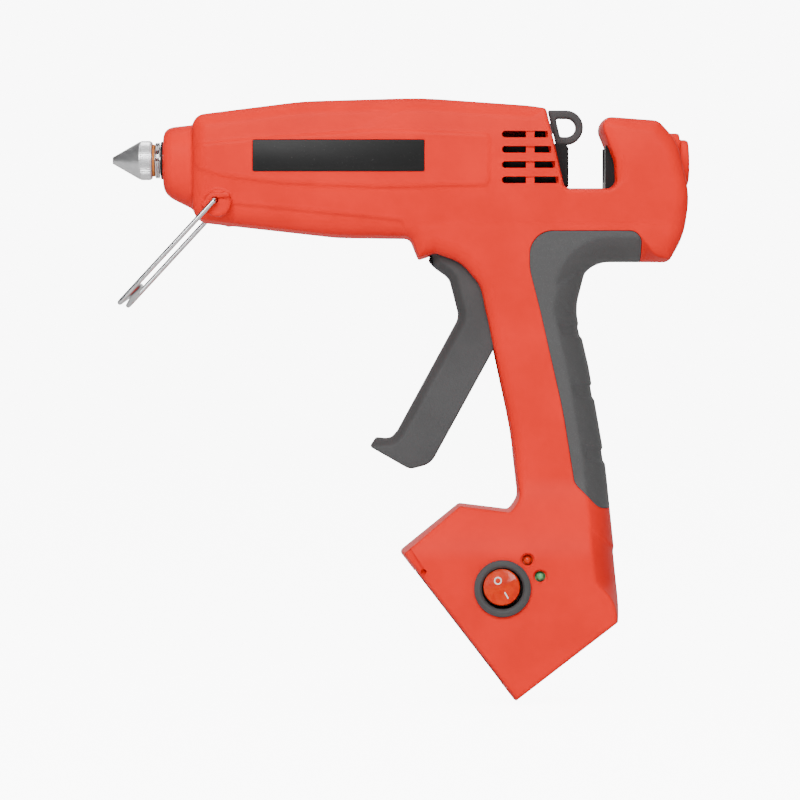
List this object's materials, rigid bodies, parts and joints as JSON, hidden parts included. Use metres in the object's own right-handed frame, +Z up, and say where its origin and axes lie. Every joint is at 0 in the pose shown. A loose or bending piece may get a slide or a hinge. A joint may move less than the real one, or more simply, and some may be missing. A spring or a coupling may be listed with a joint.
{
  "type": "glue gun",
  "caption": "Cordless hot-melt glue gun with trigger feed, wire stand, rocker switch, hanging loop and a slanted battery foot.",
  "frame": {"origin": "under the middle of the object, level with the lowest corner of the foot", "axes": "-X towards the nozzle, +X towards the glue-stick inlet, +Z up; the switch is on the -Y side"},
  "size_m": [0.2362, 0.0601, 0.246],
  "materials": {
    "red_plastic": "fine moulded texture, satin",
    "grip_rubber": "soft matt overmould",
    "label_plate": "blank satin black film",
    "grey_plastic": "fine spark texture",
    "black_plastic": "matt",
    "aluminium": "turned, satin",
    "chrome": "bright plated",
    "orange_seal": "matt",
    "silicone": "matt",
    "red_lens": "translucent, glossy",
    "green_lens": "translucent, glossy",
    "brass": "plain",
    "steel": "zinc plated",
    "circuit_board": "solder mask",
    "wire_red": "insulation",
    "wire_black": "insulation"
  },
  "bodies": {
    "housing": {"housing_left": "red_plastic", "housing_right": "red_plastic", "grip_left": "grip_rubber", "grip_right": "grip_rubber", "label_left": "label_plate", "label_right": "label_plate", "hang_loop": "grey_plastic", "switch_body": "grey_plastic", "rear_guide": "black_plastic", "inlet_bush": "black_plastic", "front_insulator_ring": "black_plastic", "front_bracket": "black_plastic", "rear_bracket": "black_plastic", "rod_holder": "black_plastic", "battery_dock": "black_plastic", "terminal_block": "black_plastic", "thermistor": "black_plastic", "nozzle": "aluminium", "melt_chamber": "aluminium", "chamber_ring": "chrome", "nozzle_washer": "orange_seal", "inlet_sleeve": "silicone", "led_red": "red_lens", "led_green": "green_lens", "blade_minus": "brass", "blade_sense": "brass", "blade_plus": "brass", "heater_left": "steel", "heater_right": "steel", "heater_clip": "steel", "sleeve_clip": "steel", "trigger_pin": "steel", "guide_rod_left": "steel", "guide_rod_right": "steel", "return_spring_left": "steel", "return_spring_right": "steel", "housing_screw_1": "steel", "housing_screw_2": "steel", "housing_screw_3": "steel", "housing_screw_4": "steel", "housing_screw_5": "steel", "housing_screw_6": "steel", "housing_screw_7": "steel", "housing_screw_8": "steel", "housing_screw_9": "steel", "control_board": "circuit_board", "lamp_board": "circuit_board", "heater_wire_red": "wire_red", "heater_wire_black": "wire_black"},
    "trigger": {"trigger": "grey_plastic", "link_pin": "steel"},
    "carriage": {"feed_carriage": "black_plastic", "carriage_pin": "steel", "clamp_pin": "steel", "link_left": "steel", "link_right": "steel"},
    "clamp": {"clamp_lever": "steel"},
    "rocker": {"rocker": "red_lens"},
    "stand": {"wire_stand": "chrome"}
  },
  "joints": [
    {"name": "trigger_pull", "type": "hinge", "parent": "housing", "child": "trigger", "pos_m": [0.018, 0, 0.185], "axis": [0, -1, 0], "range_deg": [0, 20.5], "stiffness_Nm_per_rad": 0.8, "springref_deg": -17.19},
    {"name": "carriage_feed", "type": "slide", "parent": "housing", "child": "carriage", "axis": [-1, 0, 0], "range_m": [0, 0.0074], "deforming": ["return_spring_left", "return_spring_right"]},
    {"name": "clamp_tilt", "type": "hinge", "parent": "carriage", "child": "clamp", "pos_m": [0.055, 0, 0.208], "axis": [0, -1, 0], "range_deg": [0, 8.2]},
    {"name": "rocker_tip", "type": "hinge", "parent": "housing", "child": "rocker", "pos_m": [0.0409, -0.0235, 0.0469], "axis": [0.8615, 0, 0.5077], "range_deg": [0, 16]},
    {"name": "stand_fold", "type": "hinge", "parent": "housing", "child": "stand", "pos_m": [-0.0751, 0, 0.2036], "axis": [0, -1, 0], "range_deg": [0, 110]}
  ],
  "couplings": [
    {"joint": "carriage_feed", "follows": "trigger_pull", "m_per_rad": 0.020283},
    {"joint": "clamp_tilt", "follows": "trigger_pull", "ratio": 0.39}
  ]
}
